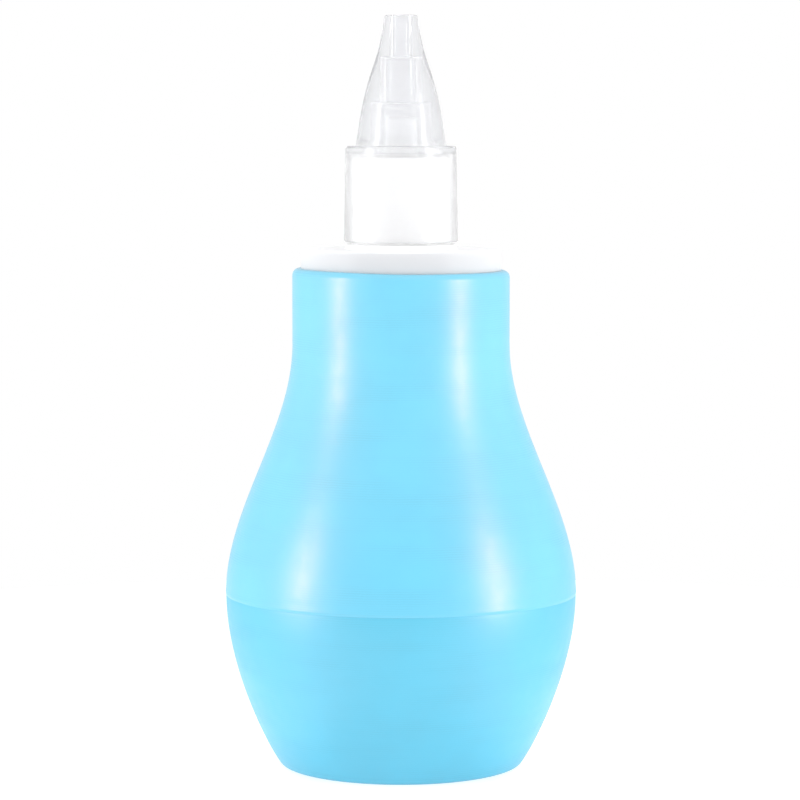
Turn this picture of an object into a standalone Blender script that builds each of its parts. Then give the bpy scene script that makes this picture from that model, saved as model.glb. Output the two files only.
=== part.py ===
"""Nasal aspirator: a soft squeeze bulb, a plastic collar and a clear silicone nozzle.

Units are metres and +Z is up. The origin is the centre of the bulb's flat base. Every piece
is turned about the Z axis, and that axis is also the line along which the pieces move.
"""

import math

import bpy
from mathutils import Vector
from mathutils.geometry import interpolate_bezier

MM = 0.001
MERGE = 0.01 * MM
GAP = 0.3 * MM

# Bulb: two moulded halves that meet at the widest diameter
BULB_RADIUS = 26.5 * MM
BULB_WALL = 2.2 * MM
SEAM_HEIGHT = 26.0 * MM
BASE_FLAT_RADIUS = 17.6 * MM
BASE_EDGE = 1.0 * MM
BASE_FLARE = math.radians(53)
BOWL_LOWER_PULL = 3.4 * MM
BOWL_UPPER_PULL = 10.8 * MM
FLOOR_THICKNESS = 2.8 * MM
FLOOR_CORNER_RISE = 0.84 * MM
FLOOR_CORNER_RUN = 1.68 * MM
NECK_RADIUS = 16.35 * MM
NECK_START = 63.8 * MM
SHOULDER_PULL = 12.9 * MM
MOUTH_HEIGHT = 74.35 * MM
MOUTH_RADIUS = 13.05 * MM
MOUTH_DEPTH = 13.0 * MM
LIP_EDGE = 1.05 * MM
LIP_INNER_EDGE = 0.5 * MM

# Collar: heights are from the underside of its flange
FLANGE_RADIUS = 15.03 * MM
FLANGE_THICKNESS = 3.35 * MM
FLANGE_EDGE = 0.25 * MM
FOOT_RADIUS = 8.33 * MM
FOOT_TOP = 4.1 * MM
SPIGOT_RADIUS = 7.4 * MM
SPIGOT_TOP = 17.05 * MM
SPIGOT_WALL = 1.2 * MM
PLUG_RADIUS = 12.4 * MM
PLUG_LENGTH = 12.5 * MM
PLUG_WALL = 1.4 * MM
PLUG_CHAMFER = 0.8 * MM
RIB_HEIGHT = 0.35 * MM
RIB_LENGTH = 1.6 * MM
RIB_DEPTHS = (3.0 * MM, 7.4 * MM)
WEB_BOTTOM = 0.6 * MM
WEB_TOP = 2.2 * MM
BOSS_WALL = 1.15 * MM
BOSS_BOTTOM = -3.2 * MM
BOSS_TOP = 4.6 * MM

# Anti-reflux tube: heights are from the underside of its stop ring
TUBE_RADIUS = 2.5 * MM
TUBE_TIP_RADIUS = 2.4 * MM
TUBE_BORE = 1.3 * MM
TUBE_TOP = 17.85 * MM
TUBE_TAIL = 8.9 * MM
TUBE_EDGE = 0.2 * MM
STOP_RADIUS = 3.7 * MM
STOP_THICKNESS = 0.9 * MM

# Nozzle: heights are from the lower edge of its skirt
SKIRT_EDGE_RADIUS = 8.55 * MM
SKIRT_TOP_RADIUS = 8.32 * MM
SKIRT_BORE = SPIGOT_RADIUS + GAP
SHOULDER_HEIGHT = 14.35 * MM
CEILING_HEIGHT = 13.2 * MM
CONE_RADIUS = 6.78 * MM
CONE_UPPER_PULL = (3.85 * MM, 24.4 * MM)
CONE_LOWER_PULL = (4.91 * MM, 27.7 * MM)
TIP_RADIUS = 2.45 * MM
TIP_HEIGHT = 33.82 * MM
TIP_EDGE = 0.25 * MM
CORNER = 0.4 * MM
LEAD_IN_RADIUS = 4.4 * MM
LEAD_IN_TOP = 15.2 * MM
LOWER_BORE = 3.26 * MM
LOWER_BORE_TOP = 20.55 * MM
MIDDLE_BORE = 2.29 * MM
MIDDLE_BORE_TOP = 27.3 * MM
TIP_BORE = 1.23 * MM

BULB_SEGMENTS = 48
RIGID_SEGMENTS = 48
TUBE_SEGMENTS = 32
BOWL_STEPS = 12
SHOULDER_STEPS = 16
CONE_STEPS = 14
LIP_STEPS = 4
EDGE_STEPS = 2
SHARP_ANGLE = math.radians(35)

BULB_BLUE = (0.11, 0.62, 0.95, 1.0)
LOWER_BLUE = (0.10, 0.58, 0.90, 1.0)
COLLAR_WHITE = (0.90, 0.92, 0.94, 1.0)
TUBE_WHITE = (0.86, 0.89, 0.92, 1.0)
SILICONE_CLEAR = (0.92, 0.95, 0.98, 1.0)
RUBBER_ROUGHNESS = 0.45
PLASTIC_ROUGHNESS = 0.3
SILICONE_ROUGHNESS = 0.15
SILICONE_TRANSMISSION = 0.8


def clear_scene():
    for obj in list(bpy.data.objects):
        bpy.data.objects.remove(obj, do_unlink=True)


def make_material(name, color, roughness, transmission=0.0):
    material = bpy.data.materials.new(name)
    material.use_nodes = True
    shader = material.node_tree.nodes["Principled BSDF"]
    shader.inputs["Base Color"].default_value = color
    shader.inputs["Roughness"].default_value = roughness
    shader.inputs["Metallic"].default_value = 0.0
    shader.inputs["Transmission Weight"].default_value = transmission
    return material


def point(radius, height):
    return Vector((radius, 0.0, height))


def arc(center, radius, start, end, steps):
    """Points on an arc in the XZ plane. Angles are in degrees, from +X towards +Z."""
    points = []
    for i in range(steps + 1):
        angle = math.radians(start + (end - start) * i / steps)
        points.append(center + point(radius * math.cos(angle), radius * math.sin(angle)))
    return points


def bezier(start, start_handle, end_handle, end, steps):
    return list(interpolate_bezier(start, start_handle, end_handle, end, steps + 1))


def offset_inward(points, distance):
    """Move a wall's outline towards the Z axis along its normals. Its ends stay level."""
    moved = []
    last = len(points) - 1
    for i, place in enumerate(points):
        along = (points[min(i + 1, last)] - points[max(i - 1, 0)]).normalized()
        inward = point(-along.z, along.x) if along.z > 0 else point(along.z, -along.x)
        moved.append(place + inward * distance)
    moved[0].z = points[0].z
    moved[-1].z = points[-1].z
    return moved


def turned(name, outline, closed, segments, material, collection):
    """Turn an outline at +X, which runs down its outer side, about the Z axis."""
    mesh = bpy.data.meshes.new(name)
    count = len(outline)
    edges = [(i, i + 1) for i in range(count - 1)]
    if closed:
        edges.append((count - 1, 0))
    mesh.from_pydata(outline, edges, [])
    obj = bpy.data.objects.new(name, mesh)
    collection.objects.link(obj)
    obj.data.materials.append(material)

    screw = obj.modifiers.new("Turn", "SCREW")
    screw.axis = "Z"
    screw.steps = segments
    screw.render_steps = segments
    screw.use_merge_vertices = True
    screw.merge_threshold = MERGE

    solid = bpy.data.meshes.new_from_object(obj.evaluated_get(bpy.context.evaluated_depsgraph_get()))
    solid.name = name
    solid.shade_smooth()
    solid.set_sharp_from_angle(angle=SHARP_ANGLE)
    obj.modifiers.remove(screw)
    obj.data = solid
    bpy.data.meshes.remove(mesh)
    return obj


def bowl_curve():
    """Outer side of the lower half, from the base's edge up to the seam."""
    turn = BASE_FLARE - math.pi / 2
    start = point(BASE_FLAT_RADIUS, BASE_EDGE)
    start += point(BASE_EDGE * math.cos(turn), BASE_EDGE * math.sin(turn))
    leaving = point(math.cos(BASE_FLARE), math.sin(BASE_FLARE))
    end = point(BULB_RADIUS, SEAM_HEIGHT - GAP / 2)
    lower_handle = start + leaving * BOWL_LOWER_PULL
    upper_handle = end - point(0.0, BOWL_UPPER_PULL)
    return bezier(start, lower_handle, upper_handle, end, BOWL_STEPS)


def shoulder_curve():
    """Outer side of the upper half, from the neck down to the seam."""
    start = point(NECK_RADIUS, NECK_START)
    end = point(BULB_RADIUS, SEAM_HEIGHT + GAP / 2)
    pull = point(0.0, SHOULDER_PULL)
    return bezier(start, start - pull, end + pull, end, SHOULDER_STEPS)


def make_bulb_lower(collection):
    outer = bowl_curve()
    floor_corner = FLOOR_THICKNESS + FLOOR_CORNER_RISE
    inner = [p for p in offset_inward(outer, BULB_WALL) if p.z > floor_corner]
    floor_radius = inner[0].x - FLOOR_CORNER_RUN
    outline = [point(0.0, FLOOR_THICKNESS), point(floor_radius, FLOOR_THICKNESS)]
    outline += inner
    outline += reversed(outer[1:])
    corner = point(BASE_FLAT_RADIUS, BASE_EDGE)
    outline += arc(corner, BASE_EDGE, math.degrees(BASE_FLARE) - 90, -90, EDGE_STEPS)
    outline.append(point(0.0, 0.0))
    blue = make_material("bulb_lower_rubber", LOWER_BLUE, RUBBER_ROUGHNESS)
    return turned("bulb_lower", outline, False, BULB_SEGMENTS, blue, collection)


def make_bulb_upper(collection):
    outer = shoulder_curve()
    thick_end = MOUTH_HEIGHT - MOUTH_DEPTH
    inner = [p for p in offset_inward(outer, BULB_WALL) if p.z < thick_end - BULB_WALL / 2]
    lip_outer = point(NECK_RADIUS - LIP_EDGE, MOUTH_HEIGHT - LIP_EDGE)
    lip_inner = point(MOUTH_RADIUS + LIP_INNER_EDGE, MOUTH_HEIGHT - LIP_INNER_EDGE)
    outline = arc(lip_outer, LIP_EDGE, 90, 0, LIP_STEPS)
    outline += outer
    outline += reversed(inner)
    outline.append(point(MOUTH_RADIUS, thick_end))
    outline += arc(lip_inner, LIP_INNER_EDGE, 180, 90, EDGE_STEPS)
    blue = make_material("bulb_upper_rubber", BULB_BLUE, RUBBER_ROUGHNESS)
    return turned("bulb_upper", outline, True, BULB_SEGMENTS, blue, collection)


def plug_side():
    """Outer side of the plug, with its retaining ribs, from the flange down."""
    points = [point(PLUG_RADIUS, 0.0)]
    for depth in RIB_DEPTHS:
        points.append(point(PLUG_RADIUS, -depth))
        points.append(point(PLUG_RADIUS + RIB_HEIGHT, -depth - RIB_LENGTH / 4))
        points.append(point(PLUG_RADIUS, -depth - RIB_LENGTH))
    points.append(point(PLUG_RADIUS, PLUG_CHAMFER - PLUG_LENGTH))
    points.append(point(PLUG_RADIUS - PLUG_CHAMFER, -PLUG_LENGTH))
    return points


def make_collar(collection):
    chamber_radius = SPIGOT_RADIUS - SPIGOT_WALL
    plug_bore = PLUG_RADIUS - PLUG_WALL
    boss_bore = TUBE_RADIUS + GAP
    boss_radius = boss_bore + BOSS_WALL
    edge_radius = FLANGE_RADIUS - FLANGE_EDGE
    rim = point(SPIGOT_RADIUS - CORNER, SPIGOT_TOP - CORNER)
    outline = arc(rim, CORNER, 90, 0, EDGE_STEPS)
    outline += [point(SPIGOT_RADIUS, FOOT_TOP), point(FOOT_RADIUS, FOOT_TOP)]
    outline.append(point(FOOT_RADIUS, FLANGE_THICKNESS))
    upper_edge = point(edge_radius, FLANGE_THICKNESS - FLANGE_EDGE)
    outline += arc(upper_edge, FLANGE_EDGE, 90, 0, EDGE_STEPS)
    outline += arc(point(edge_radius, FLANGE_EDGE), FLANGE_EDGE, 0, -90, EDGE_STEPS)
    outline += plug_side()
    outline += [point(plug_bore, -PLUG_LENGTH), point(plug_bore, WEB_BOTTOM)]
    outline += [point(boss_radius, WEB_BOTTOM), point(boss_radius, BOSS_BOTTOM)]
    outline += [point(boss_bore, BOSS_BOTTOM), point(boss_bore, BOSS_TOP)]
    outline += [point(boss_radius, BOSS_TOP), point(boss_radius, WEB_TOP)]
    outline += [point(chamber_radius, WEB_TOP), point(chamber_radius, SPIGOT_TOP)]
    white = make_material("collar_polypropylene", COLLAR_WHITE, PLASTIC_ROUGHNESS)
    collar = turned("collar", outline, True, RIGID_SEGMENTS, white, collection)
    collar.location.z = MOUTH_HEIGHT + GAP
    return collar


def make_tube(collection, collar):
    tip_corner = point(TUBE_TIP_RADIUS - TUBE_EDGE, TUBE_TOP - TUBE_EDGE)
    outline = arc(tip_corner, TUBE_EDGE, 90, 0, EDGE_STEPS)
    outline += [point(TUBE_RADIUS, STOP_THICKNESS), point(STOP_RADIUS, STOP_THICKNESS)]
    outline += [point(STOP_RADIUS, 0.0), point(TUBE_RADIUS, 0.0)]
    outline += [point(TUBE_RADIUS, -TUBE_TAIL), point(TUBE_BORE, -TUBE_TAIL)]
    outline.append(point(TUBE_BORE, TUBE_TOP))
    white = make_material("tube_polypropylene", TUBE_WHITE, PLASTIC_ROUGHNESS)
    tube = turned("anti_reflux_tube", outline, True, TUBE_SEGMENTS, white, collection)
    tube.parent = collar
    tube.location.z = BOSS_TOP + GAP
    return tube


def nozzle_cone():
    """Outer side of the cone, from just under the tip down to the shoulder."""
    start = point(TIP_RADIUS, TIP_HEIGHT - TIP_EDGE)
    end = point(CONE_RADIUS, SHOULDER_HEIGHT)
    return bezier(start, point(*CONE_UPPER_PULL), point(*CONE_LOWER_PULL), end, CONE_STEPS)


def make_nozzle(collection, collar):
    tip_edge = point(TIP_RADIUS - TIP_EDGE, TIP_HEIGHT - TIP_EDGE)
    outline = arc(tip_edge, TIP_EDGE, 90, 30, 1)
    outline += nozzle_cone()
    shoulder = point(SKIRT_TOP_RADIUS - CORNER, SHOULDER_HEIGHT - CORNER)
    outline += arc(shoulder, CORNER, 90, 0, EDGE_STEPS)
    outline += arc(point(SKIRT_EDGE_RADIUS - CORNER, CORNER), CORNER, 0, -90, EDGE_STEPS)
    outline += [point(SKIRT_BORE, 0.0), point(SKIRT_BORE, CEILING_HEIGHT)]
    outline += [point(LEAD_IN_RADIUS, CEILING_HEIGHT), point(LOWER_BORE, LEAD_IN_TOP)]
    outline += [point(LOWER_BORE, LOWER_BORE_TOP), point(MIDDLE_BORE, LOWER_BORE_TOP)]
    outline += [point(MIDDLE_BORE, MIDDLE_BORE_TOP), point(TIP_BORE, MIDDLE_BORE_TOP)]
    outline.append(point(TIP_BORE, TIP_HEIGHT))
    clear = make_material(
        "nozzle_silicone", SILICONE_CLEAR, SILICONE_ROUGHNESS, SILICONE_TRANSMISSION
    )
    nozzle = turned("nozzle", outline, True, RIGID_SEGMENTS, clear, collection)
    nozzle.parent = collar
    nozzle.location.z = FOOT_TOP + GAP
    return nozzle


def main():
    clear_scene()
    collection = bpy.data.collections.new("nasal_aspirator")
    bpy.context.scene.collection.children.link(collection)
    make_bulb_lower(collection)
    make_bulb_upper(collection)
    collar = make_collar(collection)
    make_tube(collection, collar)
    make_nozzle(collection, collar)


main()
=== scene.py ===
import math

import bpy
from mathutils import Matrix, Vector
from mathutils.geometry import interpolate_bezier


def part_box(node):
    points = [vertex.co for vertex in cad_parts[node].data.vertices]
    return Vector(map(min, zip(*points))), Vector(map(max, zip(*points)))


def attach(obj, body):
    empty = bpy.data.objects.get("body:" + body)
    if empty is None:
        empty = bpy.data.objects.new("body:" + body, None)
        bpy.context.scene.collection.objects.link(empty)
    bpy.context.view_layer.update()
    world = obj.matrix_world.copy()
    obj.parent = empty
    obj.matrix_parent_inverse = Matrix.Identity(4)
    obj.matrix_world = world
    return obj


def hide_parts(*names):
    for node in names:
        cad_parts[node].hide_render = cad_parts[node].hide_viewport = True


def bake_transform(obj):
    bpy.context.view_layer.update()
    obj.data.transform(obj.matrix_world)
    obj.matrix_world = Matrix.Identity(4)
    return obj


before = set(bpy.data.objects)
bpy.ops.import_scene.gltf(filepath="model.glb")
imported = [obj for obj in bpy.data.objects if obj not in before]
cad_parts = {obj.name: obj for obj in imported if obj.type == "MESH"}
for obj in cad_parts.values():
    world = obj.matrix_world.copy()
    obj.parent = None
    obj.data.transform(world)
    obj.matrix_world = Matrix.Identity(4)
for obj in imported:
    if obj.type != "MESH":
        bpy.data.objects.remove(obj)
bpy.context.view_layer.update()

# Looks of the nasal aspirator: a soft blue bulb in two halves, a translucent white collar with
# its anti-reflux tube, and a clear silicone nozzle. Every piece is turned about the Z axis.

# Lengths are in metres
MM = 0.001
GAP = 0.3 * MM
MERGE = 0.005 * MM
SHARP_ANGLE = math.radians(40)

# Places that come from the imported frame
SEAM_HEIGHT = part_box("bulb_lower")[1].z + GAP / 2
MOUTH_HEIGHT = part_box("bulb_upper")[1].z
BULB_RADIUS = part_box("bulb_lower")[1].x
FLANGE_HEIGHT = MOUTH_HEIGHT + GAP
FLANGE_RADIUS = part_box("collar")[1].x
SPIGOT_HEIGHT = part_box("collar")[1].z
PLUG_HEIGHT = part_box("collar")[0].z
TUBE_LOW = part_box("anti_reflux_tube")[0].z
TUBE_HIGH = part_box("anti_reflux_tube")[1].z
STOP_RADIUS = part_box("anti_reflux_tube")[1].x
SKIRT_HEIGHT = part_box("nozzle")[0].z
TIP_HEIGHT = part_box("nozzle")[1].z
SKIRT_EDGE_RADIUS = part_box("nozzle")[1].x

# Bulb: a pull is how far the handle of a curve lies from the curve's end
BULB_WALL = 2.2 * MM
BASE_FLAT_RADIUS = 17.6 * MM
BASE_EDGE = 1.0 * MM
BASE_FLARE = math.radians(53)
BOWL_LOWER_PULL = 3.4 * MM
BOWL_UPPER_PULL = 10.8 * MM
BOWL_STEPS = 60
SHOULDER_PULL = 12.9 * MM
SHOULDER_STEPS = 84
FLOOR_THICKNESS = 2.8 * MM
FLOOR_CORNER_RISE = 1.3 * FLOOR_THICKNESS
FLOOR_CORNER_RUN = 0.6 * FLOOR_THICKNESS
NECK_RADIUS = 16.35 * MM
NECK_START = 63.8 * MM
NECK_STEPS = 16
MOUTH_RADIUS = 13.05 * MM
MOUTH_DEPTH = 13.0 * MM
MOUTH_STEPS = 8
LIP_EDGE = 1.05 * MM
LIP_INNER_EDGE = 0.5 * MM
LIP_HEIGHT = MOUTH_HEIGHT + GAP - 0.01 * MM
LIP_SWELL = 0.15 * MM
LIP_SIDE_SWELL = 0.35 * MM
LIP_SOFT_DEPTH = 3.0 * MM
LIP_SOFT_WIDTH = 0.3 * MM
LIP_SIDE = (-0.2, 1.0)
SEAM_EDGE = 0.03 * MM
SEAM_STEP = 0.03 * MM
SEAM_BEAD = 0.05 * MM
SEAM_BEAD_HEIGHT = 0.9 * MM
SEAM_BEAD_STEPS = 8

# Collar
FLANGE_THICKNESS = 3.35 * MM
FLANGE_EDGE = 0.1 * MM
FOOT_RADIUS = 8.33 * MM
FOOT_TOP = 4.1 * MM
FILLET = 0.35 * MM
SPIGOT_RADIUS = 7.4 * MM
SPIGOT_WALL = 1.2 * MM
SPIGOT_STEPS = 10
PLUG_RADIUS = 12.4 * MM
PLUG_WALL = 1.4 * MM
PLUG_CHAMFER = 0.8 * MM
RIB_HEIGHT = 0.35 * MM
RIB_LENGTH = 1.6 * MM
RIB_DEPTHS = (3.0 * MM, 7.4 * MM)
WEB_BOTTOM = 0.6 * MM
WEB_TOP = 2.2 * MM
BOSS_WALL = 1.15 * MM
BOSS_BOTTOM = -3.2 * MM
BOSS_TOP = 4.6 * MM

# Anti-reflux tube
TUBE_RADIUS = 2.5 * MM
TUBE_TIP_RADIUS = 2.4 * MM
TUBE_BORE = 1.3 * MM
TUBE_EDGE = 0.2 * MM
STOP_THICKNESS = 0.9 * MM

# Nozzle: heights are from the lower edge of its skirt
SKIRT_TOP_RADIUS = 8.32 * MM
SKIRT_STEPS = 16
SKIRT_BORE = SPIGOT_RADIUS + GAP
SHOULDER_RISE = 14.35 * MM
CEILING_RISE = 13.2 * MM
CONE_RADIUS = 6.78 * MM
CONE_UPPER_HANDLE = (3.85 * MM, 24.4 * MM)
CONE_LOWER_HANDLE = (4.91 * MM, 27.7 * MM)
CONE_STEPS = 60
TIP_RADIUS = 2.45 * MM
TIP_EDGE = 0.25 * MM
CORNER = 0.4 * MM
LEAD_IN_RADIUS = 4.4 * MM
LEAD_IN_RISE = 15.2 * MM
LOWER_BORE = 3.26 * MM
LOWER_BORE_RISE = 20.55 * MM
MIDDLE_BORE = 2.29 * MM
MIDDLE_BORE_RISE = 27.3 * MM
TIP_BORE = 1.23 * MM
STEP_EDGE = 0.25 * MM

BULB_SEGMENTS = 160
RIGID_SEGMENTS = 144

# Colours are linear RGB, and the scales of noise are in cycles per metre

# Rubber
BULB_BLUE = (0.113, 0.567, 0.785)
# The top half's colour at the seam: a painted shade, darker than its colour at the neck
SEAM_SHADE_BLUE = (0.088, 0.545, 0.775)
LOWER_BLUE = (0.004, 0.477, 0.685)
RUBBER_GLOSS = (1.0, 0.33, 0.05, 1.0)
LOWER_GLOSS = (1.0, 0.55, 0.48, 1.0)
RUBBER_IOR = 2.0
LOWER_IOR = 2.3
RUBBER_ROUGHNESS = 0.315
LOWER_ROUGHNESS = 0.39
RUBBER_SHEEN = 0.10
RUBBER_PATCHES = 90.0
PATCH_TONE = 0.02
RING_PERIOD = 0.34 * MM
RING_DRIFT = 45.0
RING_TONE = 0.03
RING_ROUGHNESS = 0.08
RING_DEPTH = 0.012 * MM
RUBBER_GRAIN = 2600.0
RUBBER_GRAIN_DEPTH = 0.010 * MM
RUBBER_SMEARS = 520.0
SPECK_SCALE = 260.0
SPECK_SIZE = 0.06
SPECK_SHARE = 0.16
SPECK_LIGHT = 1.22
SPECK_HEIGHT = 0.03 * MM
WAVE_RADIANS = 20.0  # what a wave texture of scale 1 turns through in one metre

# Polypropylene
# One plastic in two painted copies: lit white for light that comes through thin walls, shaded grey for
# thick parts
PP_LIT_WHITE = (0.985, 0.985, 0.988)
PP_SHADED_GREY = (0.64, 0.645, 0.66)
PP_CLOUD = (0.6, 0.6, 0.6)
PP_CLOUDINESS = 0.03
PP_PATCHES = 160.0
PP_SPECULAR = 0.15
PP_SCATTER = 1.0 * MM
PP_ROUGHNESS = 0.4
PP_FLOW = 220.0
PP_FLOW_DEPTH = 0.01 * MM
PP_GRAIN = 1500.0
PP_GRAIN_DEPTH = 0.006 * MM
SHADE_FADE = 0.1 * MM

# Silicone
SILICONE_TINT = (0.908, 0.91, 0.922)
SKIRT_TINT = (0.99, 0.99, 0.995)
HAZE_COLOR = (0.70, 0.74, 0.80, 1.0)
SILICONE_HAZE = 20.0
SILICONE_CLARITY = 0.8
SILICONE_PATCHES = 300.0
SILICONE_FLOW = 420.0
SILICONE_FLOW_DEPTH = 0.04 * MM
SILICONE_WAVES = 900.0
SILICONE_WAVE_DEPTH = 0.02 * MM
CLEAR_BELOW = SKIRT_HEIGHT + 14.0 * MM
CLEAR_FADE = 1.5 * MM
FROST = 0.22
TIP_FROST = 0.08
FROST_LOW = SKIRT_HEIGHT + 18.0 * MM
FROST_HIGH = SKIRT_HEIGHT + 27.0 * MM

# Floor: it glows more in a patch at each side of the object
FLOOR_RADIUS = 0.2
FLOOR_WHITE = (0.5, 0.5, 0.505)
FLOOR_PATCHES = 12.0
FLOOR_GLOW = 0.62
FLOOR_SIDE_GLOW = 0.35
GLOW_REACH = (30.0 * MM, 90.0 * MM)
GLOW_ASIDE = (12.0 * MM, 30.0 * MM)

# Room: brightness against how far a direction points to +Y
ROOM_SHADES = (
    (-1.0, 0.88),
    (-0.8, 0.95),
    (-0.5, 1.20),
    (0.0, 1.24),
    (0.4, 1.31),
    (0.7, 0.82),
    (0.92, 0.95),
    (1.0, 0.95),
)

# Softboxes: each has its azimuth from the camera's side, in degrees, and its radiance
LEFT_SOFTBOX = (-67.0, 9.3)
RIGHT_SOFTBOX = (64.0, 10.1)
SOFTBOX_DISTANCE = 0.6
SOFTBOX_WIDTH = 0.12
SOFTBOX_HEIGHT = 0.40
SOFTBOX_MIDDLE = 0.13

# Camera: its lens and sensor are in millimetres
CAMERA_LENS = 143.7
CAMERA_SENSOR = 36.0
CAMERA_PLACE = (-0.00015, -0.480, 0.0957)
CAMERA_AIM = (-0.00015, 0.0, 0.0552)
CAMERA_CLIP = (0.01, 20.0)


# Outlines

def point(radius, height):
    return Vector((radius, 0.0, height))


def arc(center, radius, start, end, steps=8):
    """Points on an arc in the XZ plane. Angles are in degrees, from +X towards +Z."""
    points = []
    for i in range(steps + 1):
        angle = math.radians(start + (end - start) * i / steps)
        points.append(center + point(radius * math.cos(angle), radius * math.sin(angle)))
    return points


def line(start, end, steps):
    """Points from start to end, without the end."""
    return [start.lerp(end, i / steps) for i in range(steps)]


def bezier(start, start_handle, end_handle, end, steps):
    return list(interpolate_bezier(start, start_handle, end_handle, end, steps + 1))


def offset_inward(points, distance):
    """Move a wall's outline towards the Z axis along its normals. Its ends stay level."""
    moved = []
    last = len(points) - 1
    for i, place in enumerate(points):
        along = (points[min(i + 1, last)] - points[max(i - 1, 0)]).normalized()
        inward = point(-along.z, along.x) if along.z > 0 else point(along.z, -along.x)
        moved.append(place + inward * distance)
    moved[0].z = points[0].z
    moved[-1].z = points[-1].z
    return moved


def lifted(points, rise):
    return [p + point(0.0, rise) for p in points]


def turned(name, outline, closed, segments, material):
    """Turn an outline at +X, which runs down its outer side, about the Z axis."""
    mesh = bpy.data.meshes.new(name)
    count = len(outline)
    edges = [(i, i + 1) for i in range(count - 1)]
    if closed:
        edges.append((count - 1, 0))
    mesh.from_pydata(outline, edges, [])
    obj = bpy.data.objects.new(name, mesh)
    bpy.context.scene.collection.objects.link(obj)

    screw = obj.modifiers.new("Turn", "SCREW")
    screw.axis = "Z"
    screw.steps = segments
    screw.render_steps = segments
    screw.use_merge_vertices = True
    screw.merge_threshold = MERGE

    solid = bpy.data.meshes.new_from_object(obj.evaluated_get(bpy.context.evaluated_depsgraph_get()))
    solid.name = name
    solid.shade_smooth()
    solid.set_sharp_from_angle(angle=SHARP_ANGLE)
    solid.materials.clear()
    solid.materials.append(material)
    obj.modifiers.remove(screw)
    obj.data = solid
    bpy.data.meshes.remove(mesh)
    return obj


# Materials

class Shader:
    """A Principled material with helpers that add and link the nodes around it."""

    def __init__(self, name):
        self.material = bpy.data.materials.new(name)
        self.material.use_nodes = True
        self.tree = self.material.node_tree
        self.surface = self.tree.nodes["Principled BSDF"]
        self.output = self.tree.nodes["Material Output"]
        self.place = self.add("ShaderNodeTexCoord").outputs["Object"]

    def add(self, kind, **settings):
        node = self.tree.nodes.new(kind)
        for key, value in settings.items():
            setattr(node, key, value)
        return node

    def link(self, source, target):
        self.tree.links.new(source, target)

    def set(self, **values):
        for key, value in values.items():
            self.surface.inputs[key.replace("_", " ")].default_value = value

    def stretched(self, x, y, z):
        mapping = self.add("ShaderNodeMapping")
        mapping.inputs["Scale"].default_value = (x, y, z)
        self.link(self.place, mapping.inputs["Vector"])
        return mapping.outputs["Vector"]

    def noise(self, scale, detail=3.0, vector=None):
        node = self.add("ShaderNodeTexNoise")
        node.inputs["Scale"].default_value = scale
        node.inputs["Detail"].default_value = detail
        self.link(vector or self.place, node.inputs["Vector"])
        return node.outputs["Fac"]

    def remap(self, source, low, high, to_low=0.0, to_high=1.0):
        node = self.add("ShaderNodeMapRange", interpolation_type="SMOOTHSTEP")
        for key, value in (("From Min", low), ("From Max", high), ("To Min", to_low), ("To Max", to_high)):
            node.inputs[key].default_value = value
        self.link(source, node.inputs["Value"])
        return node.outputs["Result"]

    def patches(self, scale, detail=4.0):
        """Soft patches, from 0 to 1."""
        return self.remap(self.noise(scale, detail), low=0.3, high=0.7)

    def combine(self, operation, first, second):
        node = self.add("ShaderNodeMath", operation=operation)
        for slot, value in zip(node.inputs, (first, second)):
            if isinstance(value, (int, float)):
                slot.default_value = value
            else:
                self.link(value, slot)
        return node.outputs["Value"]

    def mix(self, factor, first, second):
        node = self.add("ShaderNodeMix", data_type="RGBA")
        self.link(factor, node.inputs["Factor"])
        for slot, value in ((node.inputs[6], first), (node.inputs[7], second)):
            if isinstance(value, tuple):
                slot.default_value = (*value, 1.0)
            else:
                self.link(value, slot)
        return node.outputs[2]

    def height(self, low, high):
        """0 below the low place and 1 above the high one, along the Z axis."""
        split = self.add("ShaderNodeSeparateXYZ")
        self.link(self.place, split.inputs["Vector"])
        return self.remap(split.outputs["Z"], low, high)

    def shaded(self, color, share, low, high):
        """The colour times a factor that goes from low to high with the share."""
        node = self.add("ShaderNodeVectorMath", operation="SCALE")
        self.link(color, node.inputs["Vector"])
        self.link(self.remap(share, 0.0, 1.0, low, high), node.inputs["Scale"])
        return node.outputs["Vector"]

    def bump(self, height, strength, distance, below=None):
        node = self.add("ShaderNodeBump")
        node.inputs["Strength"].default_value = strength
        node.inputs["Distance"].default_value = distance
        self.link(height, node.inputs["Height"])
        if below:
            self.link(below, node.inputs["Normal"])
        return node.outputs["Normal"]

    def wire(self, color=None, roughness=None, normal=None):
        for key, source in (("Base Color", color), ("Roughness", roughness), ("Normal", normal)):
            if source:
                self.link(source, self.surface.inputs[key])
        return self.material


def scaled(color, factor):
    return tuple(min(1.0, channel * factor) for channel in color)


def mould_lines(shader):
    """Fine rings round the Z axis, left by the turned mould."""
    bands = shader.add("ShaderNodeTexWave", wave_type="BANDS", bands_direction="Z")
    bands.inputs["Scale"].default_value = 2.0 * math.pi / (WAVE_RADIANS * RING_PERIOD)
    bands.inputs["Distortion"].default_value = 2.2
    bands.inputs["Detail"].default_value = 2.0
    bands.inputs["Detail Scale"].default_value = 0.35
    shader.link(shader.place, bands.inputs["Vector"])
    drift = shader.noise(RING_DRIFT, 2.0, shader.stretched(1, 1, 8))
    drift = shader.remap(drift, low=0.35, high=0.75, to_low=0.15)
    return shader.combine("MULTIPLY", bands.outputs["Fac"], drift)


def specks(shader):
    """Sparse small dots: 1 inside a dot and 0 elsewhere."""
    cells = shader.add("ShaderNodeTexVoronoi")
    cells.inputs["Scale"].default_value = SPECK_SCALE
    shader.link(shader.place, cells.inputs["Vector"])
    split = shader.add("ShaderNodeSeparateColor")
    shader.link(cells.outputs["Color"], split.inputs["Color"])
    near = shader.remap(cells.outputs["Distance"], SPECK_SIZE / 2, SPECK_SIZE, 1.0, 0.0)
    chosen = shader.combine("GREATER_THAN", split.outputs["Red"], 1.0 - SPECK_SHARE)
    return shader.combine("MULTIPLY", near, chosen)


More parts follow.
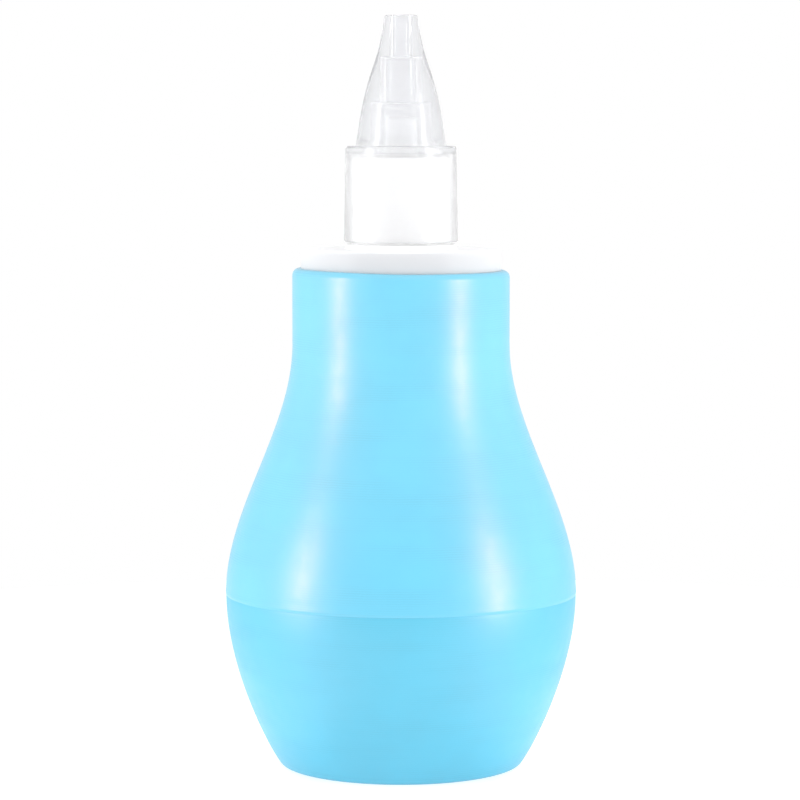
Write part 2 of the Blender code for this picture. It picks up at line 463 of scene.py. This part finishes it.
def rubber(name, high_color, low_color, gloss, ior, roughness):
    """Satin rubber, whose colour changes from the seam up to the neck; on the top half, the darker seam
    colour is painted shade.
    """
    shader = Shader(name)
    shader.set(IOR=ior, Specular_Tint=gloss)
    shader.set(Sheen_Weight=RUBBER_SHEEN, Sheen_Roughness=0.5, Sheen_Tint=RUBBER_GLOSS)
    dots = specks(shader)
    lines = mould_lines(shader)
    # Painted shade on the top half: the colour darkens from the neck down to the seam
    tone = shader.mix(shader.height(SEAM_HEIGHT, NECK_START), low_color, high_color)
    tone = shader.shaded(tone, shader.patches(RUBBER_PATCHES), 1.0 - PATCH_TONE, 1.0 + PATCH_TONE)
    tone = shader.mix(dots, tone, scaled(low_color, SPECK_LIGHT))
    tone = shader.shaded(tone, lines, 1.0 + RING_TONE, 1.0 - RING_TONE)
    smears = shader.noise(RUBBER_SMEARS, 4.0)
    rough = shader.remap(smears, 0.25, 0.75, roughness, roughness + 0.06)
    rough = shader.combine("ADD", rough, shader.combine("MULTIPLY", lines, RING_ROUGHNESS))
    normal = shader.bump(lines, 0.35, RING_DEPTH)
    normal = shader.bump(shader.noise(RUBBER_GRAIN, 2.0), 0.30, RUBBER_GRAIN_DEPTH, normal)
    normal = shader.bump(dots, 0.5, SPECK_HEIGHT, normal)
    return shader.wire(tone, rough, normal)


def polypropylene(name, lit_from):
    """Translucent white plastic: painted shade grey below a height, and painted lit white above it, where
    walls are thin.
    """
    shader = Shader(name)
    shader.set(IOR=1.49, Specular_IOR_Level=PP_SPECULAR)
    shader.set(Subsurface_Weight=1.0, Subsurface_Radius=(1.0, 1.0, 1.0), Subsurface_Scale=PP_SCATTER)
    # Painted light and shade: grey below the height, white above it
    shade = shader.mix(shader.height(lit_from - SHADE_FADE, lit_from + SHADE_FADE), PP_SHADED_GREY, PP_LIT_WHITE)
    cloudy = shader.combine("MULTIPLY", shader.patches(PP_PATCHES), PP_CLOUDINESS)
    tone = shader.mix(cloudy, shade, PP_CLOUD)
    flow = shader.noise(PP_FLOW, 3.0, shader.stretched(1, 1, 0.25))
    rough = shader.remap(flow, 0.3, 0.7, PP_ROUGHNESS, PP_ROUGHNESS + 0.06)
    normal = shader.bump(shader.noise(PP_GRAIN, 3.0), 0.2, PP_GRAIN_DEPTH)
    normal = shader.bump(flow, 0.15, PP_FLOW_DEPTH, normal)
    return shader.wire(tone, rough, normal)


def silicone(name):
    """Clear silicone: frosted, smoother towards its tip, and faintly milky above the skirt."""
    shader = Shader(name)
    shader.set(IOR=1.41, Transmission_Weight=SILICONE_CLARITY)
    tint = shader.mix(shader.height(CLEAR_BELOW, CLEAR_BELOW + CLEAR_FADE), SKIRT_TINT, SILICONE_TINT)
    tone = shader.shaded(tint, shader.patches(SILICONE_PATCHES), 0.985, 1.0)
    flow = shader.noise(SILICONE_FLOW, 3.0, shader.stretched(1, 1, 0.2))
    streaks = shader.remap(flow, low=0.3, high=0.7, to_high=0.03)
    frost = shader.remap(shader.height(FROST_LOW, FROST_HIGH), 0.0, 1.0, FROST, TIP_FROST)
    rough = shader.combine("ADD", streaks, frost)
    normal = shader.bump(shader.noise(SILICONE_WAVES, 3.0), 0.15, SILICONE_WAVE_DEPTH)
    normal = shader.bump(flow, 0.15, SILICONE_FLOW_DEPTH, normal)
    haze = shader.add("ShaderNodeVolumeAbsorption")
    haze.inputs["Color"].default_value = HAZE_COLOR
    haze.inputs["Density"].default_value = SILICONE_HAZE
    shader.link(haze.outputs["Volume"], shader.output.inputs["Volume"])
    return shader.wire(tone, rough, normal)


# Pieces

def bowl_curve():
    """Outer side of the lower half, from the base's edge up to just under the seam."""
    turn = BASE_FLARE - math.pi / 2
    start = point(BASE_FLAT_RADIUS, BASE_EDGE)
    start += point(BASE_EDGE * math.cos(turn), BASE_EDGE * math.sin(turn))
    leaving = point(math.cos(BASE_FLARE), math.sin(BASE_FLARE))
    end = point(BULB_RADIUS - SEAM_STEP, SEAM_HEIGHT - SEAM_EDGE)
    end_handle = end - point(0.0, BOWL_UPPER_PULL)
    return bezier(start, start + leaving * BOWL_LOWER_PULL, end_handle, end, BOWL_STEPS)


def shoulder_curve():
    """Outer side of the upper half, from the neck down to the seam, with close points for the bead."""
    start = point(NECK_RADIUS, NECK_START)
    end = point(BULB_RADIUS, SEAM_HEIGHT + SEAM_EDGE)
    pull = point(0.0, SHOULDER_PULL)
    points = bezier(start, start - pull, end + pull, end, SHOULDER_STEPS)
    low = [p for p in points if p.z < end.z + SEAM_BEAD_HEIGHT]
    kept = points[:len(points) - len(low)]
    return kept + line(low[0], end, SEAM_BEAD_STEPS) + [end]


def make_bulb_lower():
    outer = bowl_curve()
    inner = [p for p in offset_inward(outer, BULB_WALL) if p.z > FLOOR_CORNER_RISE]
    inner[-1].z = SEAM_HEIGHT
    floor_radius = inner[0].x - FLOOR_CORNER_RUN
    outline = [point(0.0, FLOOR_THICKNESS), point(floor_radius, FLOOR_THICKNESS)]
    outline += inner
    rim = outer[-1] - point(SEAM_EDGE, 0.0)
    outline += arc(rim, SEAM_EDGE, 90, 0, steps=5)
    outline += reversed(outer[1:-1])
    corner = point(BASE_FLAT_RADIUS, BASE_EDGE)
    outline += arc(corner, BASE_EDGE, math.degrees(BASE_FLARE) - 90, -90)
    outline.append(point(0.0, 0.0))
    blue = rubber("rubber_base", LOWER_BLUE, LOWER_BLUE, LOWER_GLOSS, LOWER_IOR, LOWER_ROUGHNESS)
    bulb = turned("soft_bulb_base", outline, False, BULB_SEGMENTS, blue)
    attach(bulb, "bulb_base")
    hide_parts("bulb_lower")


def smooth(value, low, high):
    """0 below the low value and 1 above the high one, with a smooth change between them."""
    share = max(0.0, min(1.0, (value - low) / (high - low)))
    return share * share * (3.0 - 2.0 * share)


def swell_lip(bulb):
    """The soft lip is squeezed up a little round the collar, and more on the side at -X."""
    for vertex in bulb.data.vertices:
        radius = vertex.co.xy.length
        high = smooth(vertex.co.z, LIP_HEIGHT - LIP_SOFT_DEPTH, LIP_HEIGHT)
        outside = smooth(radius, FLANGE_RADIUS, FLANGE_RADIUS + LIP_SOFT_WIDTH)
        side = smooth(-vertex.co.x / NECK_RADIUS, *LIP_SIDE)
        vertex.co.z += (LIP_SWELL + LIP_SIDE_SWELL * side) * high * outside


def raise_bead(bulb):
    """A faint bead runs round the bulb just above the seam."""
    for vertex in bulb.data.vertices:
        share = (vertex.co.z - SEAM_HEIGHT) / SEAM_BEAD_HEIGHT
        radius = vertex.co.xy.length
        if 0.0 < share < 1.0 and radius > BULB_RADIUS - BULB_WALL / 2:
            grown = 1.0 + SEAM_BEAD * math.sin(math.pi * share) ** 2 / radius
            vertex.co.x *= grown
            vertex.co.y *= grown


def make_bulb_upper():
    outer = shoulder_curve()
    thick_end = MOUTH_HEIGHT - MOUTH_DEPTH
    inner = [p for p in offset_inward(outer, BULB_WALL) if p.z < thick_end - BULB_WALL / 2]
    inner[-1].z = SEAM_HEIGHT
    lip_outer = point(NECK_RADIUS - LIP_EDGE, LIP_HEIGHT - LIP_EDGE)
    lip_inner = point(MOUTH_RADIUS + LIP_INNER_EDGE, LIP_HEIGHT - LIP_INNER_EDGE)
    outline = arc(lip_outer, LIP_EDGE, 90, 0, steps=12)
    outline += line(lip_outer + point(LIP_EDGE, 0.0), outer[0], NECK_STEPS)[1:]
    outline += outer[:-1]
    rim = outer[-1] - point(SEAM_EDGE, 0.0)
    outline += arc(rim, SEAM_EDGE, 0, -90, steps=5)
    outline += reversed(inner)
    mouth_top = lip_inner - point(LIP_INNER_EDGE, 0.0)
    outline += line(point(MOUTH_RADIUS, thick_end), mouth_top, MOUTH_STEPS)
    outline += arc(lip_inner, LIP_INNER_EDGE, 180, 90, steps=5)
    # Painted shade: this half is darker towards the seam
    blue = rubber("rubber_top", BULB_BLUE, SEAM_SHADE_BLUE, RUBBER_GLOSS, RUBBER_IOR, RUBBER_ROUGHNESS)
    bulb = turned("soft_bulb_top", outline, True, BULB_SEGMENTS, blue)
    swell_lip(bulb)
    raise_bead(bulb)
    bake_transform(bulb)
    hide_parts("bulb_upper")


def plug_side(length):
    """Outer side of the plug, with its retaining ribs, from the flange down."""
    points = [point(PLUG_RADIUS, 0.0)]
    for depth in RIB_DEPTHS:
        points.append(point(PLUG_RADIUS, -depth))
        points.append(point(PLUG_RADIUS + RIB_HEIGHT, -depth - RIB_LENGTH / 4))
        points.append(point(PLUG_RADIUS, -depth - RIB_LENGTH))
    points.append(point(PLUG_RADIUS, PLUG_CHAMFER - length))
    points.append(point(PLUG_RADIUS - PLUG_CHAMFER, -length))
    return points


def make_collar():
    chamber_radius = SPIGOT_RADIUS - SPIGOT_WALL
    plug_bore = PLUG_RADIUS - PLUG_WALL
    plug_length = FLANGE_HEIGHT - PLUG_HEIGHT
    spigot_top = SPIGOT_HEIGHT - FLANGE_HEIGHT
    boss_bore = TUBE_RADIUS + GAP
    boss_radius = boss_bore + BOSS_WALL
    edge_radius = FLANGE_RADIUS - FLANGE_EDGE
    spigot_foot = point(SPIGOT_RADIUS, FOOT_TOP)
    outline = arc(point(SPIGOT_RADIUS - CORNER, spigot_top - CORNER), CORNER, 90, 0)
    outline += line(point(SPIGOT_RADIUS, spigot_top - CORNER), spigot_foot, SPIGOT_STEPS)[1:]
    outline.append(spigot_foot)
    outline += arc(point(FOOT_RADIUS - FILLET / 2, FOOT_TOP - FILLET / 2), FILLET / 2, 90, 0, steps=4)
    outline += arc(point(FOOT_RADIUS + FILLET, FLANGE_THICKNESS + FILLET), FILLET, 180, 270, steps=5)
    outline += arc(point(edge_radius, FLANGE_THICKNESS - FLANGE_EDGE), FLANGE_EDGE, 90, 0, steps=6)
    outline += arc(point(edge_radius, FLANGE_EDGE), FLANGE_EDGE, 0, -90, steps=6)
    outline += plug_side(plug_length)
    outline += [point(plug_bore, -plug_length), point(plug_bore, WEB_BOTTOM)]
    outline += [point(boss_radius, WEB_BOTTOM), point(boss_radius, BOSS_BOTTOM)]
    outline += [point(boss_bore, BOSS_BOTTOM), point(boss_bore, BOSS_TOP)]
    outline += [point(boss_radius, BOSS_TOP), point(boss_radius, WEB_TOP)]
    outline += [point(chamber_radius, WEB_TOP), point(chamber_radius, spigot_top - CORNER)]
    outline += arc(point(chamber_radius + CORNER, spigot_top - CORNER), CORNER, 180, 90)
    outline = lifted(outline, FLANGE_HEIGHT)
    # Painted shade grey on the flange, and painted lit white above it on the spigot's thin walls
    white = polypropylene("polypropylene_collar", FLANGE_HEIGHT + FLANGE_THICKNESS)
    collar = turned("collar_moulding", outline, True, RIGID_SEGMENTS, white)
    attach(collar, "collar")
    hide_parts("collar")


def make_tube():
    stop = FLANGE_HEIGHT + BOSS_TOP + GAP
    outline = arc(point(TUBE_TIP_RADIUS - TUBE_EDGE, TUBE_HIGH - TUBE_EDGE), TUBE_EDGE, 90, 0)
    outline += [point(TUBE_RADIUS, stop + STOP_THICKNESS), point(STOP_RADIUS, stop + STOP_THICKNESS)]
    outline += [point(STOP_RADIUS, stop), point(TUBE_RADIUS, stop)]
    outline += [point(TUBE_RADIUS, TUBE_LOW), point(TUBE_BORE, TUBE_LOW)]
    outline += [point(TUBE_BORE, TUBE_HIGH - TUBE_EDGE)]
    outline += arc(point(TUBE_BORE + TUBE_EDGE, TUBE_HIGH - TUBE_EDGE), TUBE_EDGE, 180, 90)
    white = polypropylene("polypropylene_tube", 0.0)
    tube = turned("reflux_tube", outline, True, RIGID_SEGMENTS, white)
    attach(tube, "collar")
    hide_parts("anti_reflux_tube")


def nozzle_cone(tip_rise):
    """Outer side of the cone, from just under the tip down to the shoulder."""
    start = point(TIP_RADIUS, tip_rise - TIP_EDGE)
    end = point(CONE_RADIUS, SHOULDER_RISE)
    return bezier(start, point(*CONE_UPPER_HANDLE), point(*CONE_LOWER_HANDLE), end, CONE_STEPS)


def bore_step(wide, narrow, rise):
    """A step in the bore, from its wide part up to its narrow part, with rounded corners."""
    points = arc(point(wide - STEP_EDGE, rise - STEP_EDGE), STEP_EDGE, 0, 90, steps=5)
    points += arc(point(narrow + STEP_EDGE / 2, rise + STEP_EDGE / 2), STEP_EDGE / 2, 270, 180, steps=5)
    return points


def make_nozzle():
    tip_rise = TIP_HEIGHT - SKIRT_HEIGHT
    outline = arc(point(TIP_RADIUS - TIP_EDGE, tip_rise - TIP_EDGE), TIP_EDGE, 90, 0, steps=6)[:-1]
    outline += nozzle_cone(tip_rise)
    shoulder = point(SKIRT_TOP_RADIUS - CORNER, SHOULDER_RISE - CORNER)
    edge = point(SKIRT_EDGE_RADIUS - CORNER, CORNER)
    outline += arc(shoulder, CORNER, 90, 0)
    outline += line(shoulder + point(CORNER, 0.0), edge + point(CORNER, 0.0), SKIRT_STEPS)[1:]
    outline += arc(edge, CORNER, 0, -90)
    outline += [point(SKIRT_BORE, 0.0), point(SKIRT_BORE, CEILING_RISE)]
    outline += [point(LEAD_IN_RADIUS, CEILING_RISE), point(LOWER_BORE, LEAD_IN_RISE)]
    outline += bore_step(LOWER_BORE, MIDDLE_BORE, LOWER_BORE_RISE)
    outline += bore_step(MIDDLE_BORE, TIP_BORE, MIDDLE_BORE_RISE)
    outline.append(point(TIP_BORE, tip_rise - TIP_EDGE / 2))
    outline.append(point(TIP_BORE + TIP_EDGE / 2, tip_rise))
    outline = lifted(outline, SKIRT_HEIGHT)
    nozzle = turned("clear_nozzle", outline, True, RIGID_SEGMENTS, silicone("clear_silicone"))
    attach(nozzle, "nozzle")
    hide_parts("nozzle")


# Studio

def make_floor():
    bpy.ops.mesh.primitive_circle_add(radius=FLOOR_RADIUS, vertices=128, fill_type="NGON")
    floor = bpy.context.object
    floor.name = "floor"
    shader = Shader("floor_paper")
    shader.set(Roughness=0.8, Emission_Color=(1.0, 1.0, 1.0, 1.0))
    split = shader.add("ShaderNodeSeparateXYZ")
    shader.link(shader.place, split.inputs["Vector"])
    aside = shader.combine("ABSOLUTE", split.outputs["X"], 0.0)
    near = shader.add("ShaderNodeVectorMath", operation="LENGTH")
    shader.link(shader.place, near.inputs["Vector"])
    patch = shader.remap(near.outputs["Value"], *GLOW_REACH, FLOOR_SIDE_GLOW, 0.0)
    patch = shader.combine("MULTIPLY", patch, shader.remap(aside, *GLOW_ASIDE))
    glow = shader.combine("ADD", patch, FLOOR_GLOW)
    shader.link(glow, shader.surface.inputs["Emission Strength"])
    tone = shader.mix(shader.patches(FLOOR_PATCHES, 3.0), scaled(FLOOR_WHITE, 0.99), FLOOR_WHITE)
    floor.data.materials.append(shader.wire(tone))


def make_world():
    """The room's brightness by direction, from -Y round to the backdrop at +Y. The camera sees white."""
    world = bpy.data.worlds.new("studio")
    bpy.context.scene.world = world
    world.use_nodes = True
    tree = world.node_tree
    tree.nodes.clear()
    place = tree.nodes.new("ShaderNodeTexCoord")
    split = tree.nodes.new("ShaderNodeSeparateXYZ")
    wall = tree.nodes.new("ShaderNodeMapRange")
    wall.inputs["From Min"].default_value = -1.0
    wall.inputs["From Max"].default_value = 1.0
    shades = tree.nodes.new("ShaderNodeValToRGB")
    ramp = shades.color_ramp
    ramp.interpolation = "EASE"
    first, last = ramp.elements
    for element, (_, shade) in ((first, ROOM_SHADES[0]), (last, ROOM_SHADES[-1])):
        element.color = (shade, shade, shade, 1.0)
    for toward_back, shade in ROOM_SHADES[1:-1]:
        element = ramp.elements.new((toward_back + 1.0) / 2.0)
        element.color = (shade, shade, shade, 1.0)
    room = tree.nodes.new("ShaderNodeBackground")
    plain = tree.nodes.new("ShaderNodeBackground")
    rays = tree.nodes.new("ShaderNodeLightPath")
    mix = tree.nodes.new("ShaderNodeMixShader")
    output = tree.nodes.new("ShaderNodeOutputWorld")
    tree.links.new(place.outputs["Generated"], split.inputs["Vector"])
    tree.links.new(split.outputs["Y"], wall.inputs["Value"])
    tree.links.new(wall.outputs["Result"], shades.inputs["Fac"])
    tree.links.new(shades.outputs["Color"], room.inputs["Color"])
    plain.inputs["Color"].default_value = (1.0, 1.0, 1.0, 1.0)
    tree.links.new(rays.outputs["Is Camera Ray"], mix.inputs["Fac"])
    tree.links.new(room.outputs["Background"], mix.inputs[1])
    tree.links.new(plain.outputs["Background"], mix.inputs[2])
    tree.links.new(mix.outputs["Shader"], output.inputs["Surface"])


def make_softbox(name, azimuth, radiance):
    """A tall softbox beside the object, which the camera can't see."""
    light = bpy.data.lights.new(name, "AREA")
    light.shape = "RECTANGLE"
    light.size = SOFTBOX_WIDTH
    light.size_y = SOFTBOX_HEIGHT
    light.energy = radiance * math.pi * SOFTBOX_WIDTH * SOFTBOX_HEIGHT
    box = bpy.data.objects.new(name, light)
    bpy.context.scene.collection.objects.link(box)
    angle = math.radians(azimuth)
    box.location = (SOFTBOX_DISTANCE * math.sin(angle), -SOFTBOX_DISTANCE * math.cos(angle), SOFTBOX_MIDDLE)
    aim = Vector((0.0, 0.0, SOFTBOX_MIDDLE)) - box.location
    box.rotation_euler = aim.to_track_quat("-Z", "Y").to_euler()
    box.visible_camera = False


def make_camera():
    camera_data = bpy.data.cameras.new("camera")
    camera_data.lens = CAMERA_LENS
    camera_data.sensor_width = CAMERA_SENSOR
    camera_data.clip_start, camera_data.clip_end = CAMERA_CLIP
    camera = bpy.data.objects.new("camera", camera_data)
    bpy.context.scene.collection.objects.link(camera)
    camera.location = CAMERA_PLACE
    aim = Vector(CAMERA_AIM) - camera.location
    camera.rotation_euler = aim.to_track_quat("-Z", "Y").to_euler()
    bpy.context.scene.camera = camera


make_camera()
make_bulb_lower()
make_bulb_upper()
make_collar()
make_tube()
make_nozzle()
make_floor()
make_world()
make_softbox("softbox_left", *LEFT_SOFTBOX)
make_softbox("softbox_right", *RIGHT_SOFTBOX)
bpy.context.scene.view_settings.view_transform = "Standard"
# Light that comes through the clear nozzle is kept
bpy.context.scene.cycles.blur_glossy = 0.0
